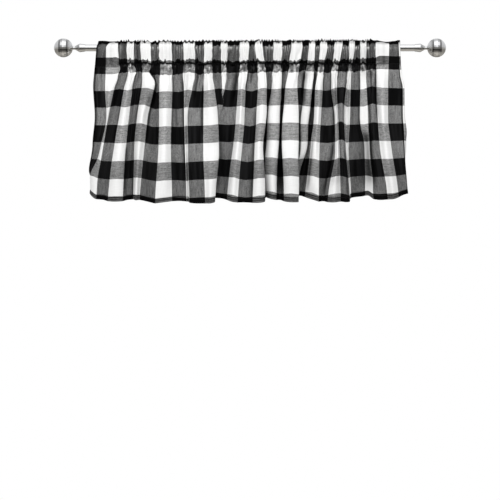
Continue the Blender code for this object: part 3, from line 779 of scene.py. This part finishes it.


def cloth_material():
    """Yarn-dyed plain weave: black and white warp crossed by black and white weft, with painted shade and
    painted highlights.
    """
    material, n, shader = new_material("buffalo_check_cotton")
    checks = n.add("ShaderNodeUVMap", {"uv_map": "checks"}).outputs[0]
    threads = n.add("ShaderNodeUVMap", {"uv_map": "threads"}).outputs[0]
    check = n.add("ShaderNodeSeparateXYZ", i0=checks).outputs
    thread = n.add("ShaderNodeSeparateXYZ", i0=threads).outputs
    mark = {name: n.add("ShaderNodeAttribute", {"attribute_name": name}).outputs["Fac"]
            for name in ("closed", "pleated", "doubled", "lit", "sewn")}

    white_warp = n.math("GREATER_THAN", n.math("MODULO", check[0], 2.0), 1.0)
    white_weft = n.math("GREATER_THAN", n.math("MODULO", check[1], 2.0), 1.0)
    black_warp = n.less(white_warp)
    black_weft = n.less(white_weft)
    warp_wave = n.math("SINE", n.times(thread[0], math.pi / THREAD))
    weft_wave = n.math("SINE", n.times(thread[1], math.pi / THREAD))
    crossing = n.times(warp_wave, weft_wave)
    warp_over = n.between(crossing, -0.2, 0.2)
    warp_slub = n.noise(n.stretched(threads, (420, 40, 1)), 1.0, 2.0)
    weft_slub = n.noise(n.stretched(threads, (40, 420, 1)), 1.0, 2.0)
    cloudy = n.between(n.noise(threads, 170.0, 3.0), 0.3, 0.7, -0.07, 0.07)
    blotchy = n.between(n.noise(threads, 380.0, 1.0), 0.35, 0.65, -0.05, 0.05)

    # How much white shows where the warp alone, or the weft alone, is white
    mottle = n.plus(cloudy, blotchy)
    warp_uneven = n.plus(mottle, n.between(weft_slub, 0.3, 0.7, -0.10, 0.10))
    weft_uneven = n.plus(n.times(mottle, 0.5), n.between(warp_slub, 0.3, 0.7, -0.06, 0.06))
    warp_alone = n.plus(n.between(warp_over, 0.0, 1.0, *WARP_WHITE), warp_uneven)
    weft_alone = n.plus(n.between(warp_over, 0.0, 1.0, *WEFT_WHITE), weft_uneven)
    mixed = n.plus(n.times(n.times(white_warp, black_weft), warp_alone),
                   n.times(n.times(black_warp, white_weft), weft_alone))
    # Painted shade: it shows less where a second layer behind it, a closed crease or a pleat keeps the light
    # out
    open_share = n.less(mark["doubled"], n.between(black_weft, 0.0, 1.0, *SECOND_LAYER))
    for name, share in MIXED_SHADE.items():
        open_share = n.times(open_share, n.less(mark[name], share))
    # Painted highlight: more of it shows on lit crests, and all yarn turns paler there
    mixed = n.times(n.times(mixed, open_share), n.between(mark["lit"], 0.0, 1.0, 1.0, LIT_MIXED))
    mixed = n.math("MULTIPLY_ADD", n.math("POWER", mark["lit"], 3.0), LIT_BLACK, mixed)
    white = n.plus(n.times(white_warp, white_weft), mixed)

    # Painted shade on the black yarn, where a second layer behind or a closed crease keeps the light out; it
    # is also darker in random upright bands
    bands = n.between(n.noise(n.stretched(threads, (95, 6, 1)), 1.0, 1.0), 0.40, 0.62, 0.75, 0.0)
    depth = n.math("MAXIMUM", n.times(mark["doubled"], 0.8), n.math("MAXIMUM", bands, mark["closed"]))
    black = n.mix(n.math("MINIMUM", depth, 1.0), BLACK_YARN, DEEP_BLACK)
    uneven = n.plus(n.between(warp_slub, 0.2, 0.8, 0.94, 1.03), n.between(weft_slub, 0.2, 0.8, -0.04, 0.04))
    # Painted shade of closed creases, pleats and the seam's line darkens all yarn; the seam's line stands for
    # its thread too
    for name, share in YARN_SHADE.items():
        uneven = n.times(uneven, n.less(mark[name], share))
    grey = n.add("ShaderNodeCombineXYZ", i0=uneven, i1=uneven, i2=uneven).outputs[0]
    n.feed(shader, "Base Color", n.mix(1.0, n.mix(white, black, WHITE_YARN), grey, "MULTIPLY"))

    height = n.plus(n.times(n.math("ABSOLUTE", crossing), 0.5), n.times(n.plus(warp_slub, weft_slub), 0.35))
    bump = n.add("ShaderNodeBump", Strength=0.5, Distance=0.12 * MM, Height=height)
    n.feed(shader, "Normal", bump.outputs[0])
    n.feed(shader, "Roughness", 0.9)
    n.feed(shader, "Specular IOR Level", 0.02)
    return material


def metal_material():
    """Satin nickel, brushed round the rod's axis."""
    material, n, shader = new_material("satin_nickel")
    place = n.add("ShaderNodeTexCoord").outputs["Object"]
    grain = n.noise(n.stretched(place, (2600, 90, 90)), 1.0, 3.0)
    cloudy = n.noise(place, 60.0, 4.0)
    n.feed(shader, "Base Color", n.mix(cloudy, (0.65, 0.65, 0.63, 1), (0.73, 0.73, 0.72, 1)))
    n.feed(shader, "Roughness", n.between(grain, 0.3, 0.7, 0.13, 0.20))
    bump = n.add("ShaderNodeBump", Strength=0.1, Distance=0.02 * MM, Height=grain)
    n.feed(shader, "Normal", bump.outputs[0])
    n.feed(shader, "Metallic", 1.0)
    return material


def plain_material(name, colour, roughness):
    material, n, shader = new_material(name)
    n.feed(shader, "Base Color", (*colour, 1))
    n.feed(shader, "Roughness", roughness)
    return material


# ------------------------------------------------ floor, light and camera
FLOOR_RADIUS = 2.6
FLOOR_HEIGHT = -1.55
Light = namedtuple("Light", "name place target size power")
LIGHTS = (
    Light("key", (-0.25, -0.95, 0.85), (0, 0, -0.12), (1.7, 0.4), 9.5),
    Light("fill", (0.3, -2.6, 0.1), (0, 0, -0.2), (2.6, 1.4), 14),
    Light("back", (0, 2.6, 0.2), (0, 0, -0.2), (2.6, 1.4), 12),
)
LIGHT_ALL_ROUND = (0.76, 0.76, 0.76, 1)     # that falls on the object from the world
BACKGROUND = (1, 1, 1, 1)                   # that the camera sees


def build_floor():
    mesh = bpy.data.meshes.new("studio_floor")
    shape = bmesh.new()
    bmesh.ops.create_circle(shape, cap_ends=True, segments=96, radius=FLOOR_RADIUS)
    shape.to_mesh(mesh)
    shape.free()
    mesh.materials.append(plain_material("pale_floor", (0.86, 0.86, 0.85), 0.7))
    floor = put_in_scene("studio_floor", mesh)
    floor.location = (0, 0, FLOOR_HEIGHT)
    floor.visible_glossy = False


def build_lamp(light):
    data = bpy.data.lights.new(light.name, "AREA")
    data.shape = "RECTANGLE"
    data.size, data.size_y = light.size
    data.energy = light.power
    lamp = put_in_scene(light.name, data)
    lamp.location = light.place
    aim = Vector(light.target) - Vector(light.place)
    lamp.rotation_euler = aim.to_track_quat("-Z", "Y").to_euler()
    lamp.visible_glossy = False


# What a ball facing the camera would show of the room: grey from its bottom at 0 to its top at 1, the
# share of it that is left from the ball's middle at 0 out to its side at 1, grey up its sides, and a
# bright round window parted by a bar, placed and sized in radii of the ball
SEEN_UP = ((0.0, 0.12), (0.06, 0.22), (0.13, 0.38), (0.22, 0.36), (0.27, 0.20), (0.31, 0.03), (0.42, 0.02),
           (0.47, 0.12), (0.55, 0.22), (0.70, 0.28), (0.85, 0.38), (1.0, 0.52))
SEEN_ACROSS = ((0.0, 1.0), (0.18, 0.95), (0.34, 0.48), (0.42, 0.42), (0.54, 0.9), (1.0, 1.0))
SEEN_SIDES = ((0.0, 0.14), (0.22, 0.25), (0.34, 0.16), (0.45, 0.18), (0.55, 0.40), (0.75, 0.50), (1.0, 0.55))
WINDOW_UP = 0.42
WINDOW_SIZE = (0.31, 0.34)
WINDOW_BAR = 0.02
WARM = (1.80, 1.72, 1.60, 1)    # tint of what is seen below the ball's middle
COOL = (1.70, 1.71, 1.77, 1)    # and above it


def grey_ramp(n, value, table):
    """A colour ramp through rows of place and grey."""
    ramp = n.add("ShaderNodeValToRGB", i0=value)
    elements = ramp.color_ramp.elements
    for number, (place, grey) in enumerate(table):
        element = elements[number] if number < 2 else elements.new(place)
        element.position = place
        element.color = (grey, grey, grey, 1)
    return ramp.outputs[0]


def room_seen(n):
    """The room in the metal's reflections, laid out by where a ball facing the camera shows it."""
    direction = n.add("ShaderNodeTexCoord").outputs["Generated"]
    part = n.add("ShaderNodeSeparateXYZ", i0=direction).outputs
    facing = n.times(n.less(part[1]), 0.5)
    twice = n.times(n.math("SQRT", n.math("MAXIMUM", facing, 0.0001)), 2.0)
    across = n.math("ABSOLUTE", n.math("DIVIDE", part[0], twice))
    up = n.math("DIVIDE", part[2], twice)
    upright = n.between(up, -1.0, 1.0)
    seen = n.mix(1.0, grey_ramp(n, upright, SEEN_UP), grey_ramp(n, across, SEEN_ACROSS), "MULTIPLY")
    seen = n.mix(n.between(across, 0.44, 0.62), seen, grey_ramp(n, upright, SEEN_SIDES))
    off_across = n.math("POWER", n.math("DIVIDE", across, WINDOW_SIZE[0]), 2.0)
    off_up = n.math("DIVIDE", n.math("SUBTRACT", up, WINDOW_UP), WINDOW_SIZE[1])
    off_window = n.plus(off_across, n.times(off_up, off_up))
    window = n.times(n.between(off_window, 0.35, 1.25, 1.0, 0.0),
                     n.between(across, WINDOW_BAR * 0.5, WINDOW_BAR, 0.45, 1.0))
    seen = n.mix(window, seen, (1, 1, 1, 1))
    return n.mix(1.0, seen, n.mix(n.between(up, -0.15, 0.15), WARM, COOL), "MULTIPLY")


def build_light():
    world = bpy.data.worlds.new("studio")
    bpy.context.scene.world = world
    world.use_nodes = True
    n = Nodes(world.node_tree)
    rays = n.add("ShaderNodeLightPath").outputs
    colour = n.mix(rays["Is Glossy Ray"], LIGHT_ALL_ROUND, room_seen(n))
    colour = n.mix(rays["Is Camera Ray"], colour, BACKGROUND)
    n.feed(world.node_tree.nodes["Background"], "Color", colour)
    for light in LIGHTS:
        build_lamp(light)


PICTURE_WIDTH = 500             # in pixels
PIXEL_SIZE = 2.38               # what one spans at the rod, in millimetres
FRAME_WIDTH = PICTURE_WIDTH * PIXEL_SIZE * MM
SENSOR_WIDTH = 36               # in millimetres
CAMERA_DISTANCE = 5.5
CAMERA_HEIGHT = -0.481


def build_camera():
    data = bpy.data.cameras.new("camera")
    data.sensor_width = SENSOR_WIDTH
    data.lens = SENSOR_WIDTH * CAMERA_DISTANCE / FRAME_WIDTH
    camera = put_in_scene("camera", data)
    camera.location = (0, -CAMERA_DISTANCE, CAMERA_HEIGHT)
    camera.rotation_euler = (math.radians(90), 0, 0)
    bpy.context.scene.camera = camera


# ------------------------------------------------ putting it together
bpy.context.scene.view_settings.view_transform = "Standard"
build_camera()
build_floor()
build_light()

nickel = metal_material()
for name in ("curtain_rod", "finial_left", "finial_right"):
    for material_slot in bpy.data.objects[name].material_slots:
        material_slot.material = nickel

cloth = build_cloth()
cloth.data.materials.append(cloth_material())
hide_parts("valance_panel")
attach(cloth, "root")

stitching = build_stitches()
stitching.data.materials.append(plain_material("black_thread", (0.012, 0.012, 0.013), 0.8))
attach(stitching, "root")
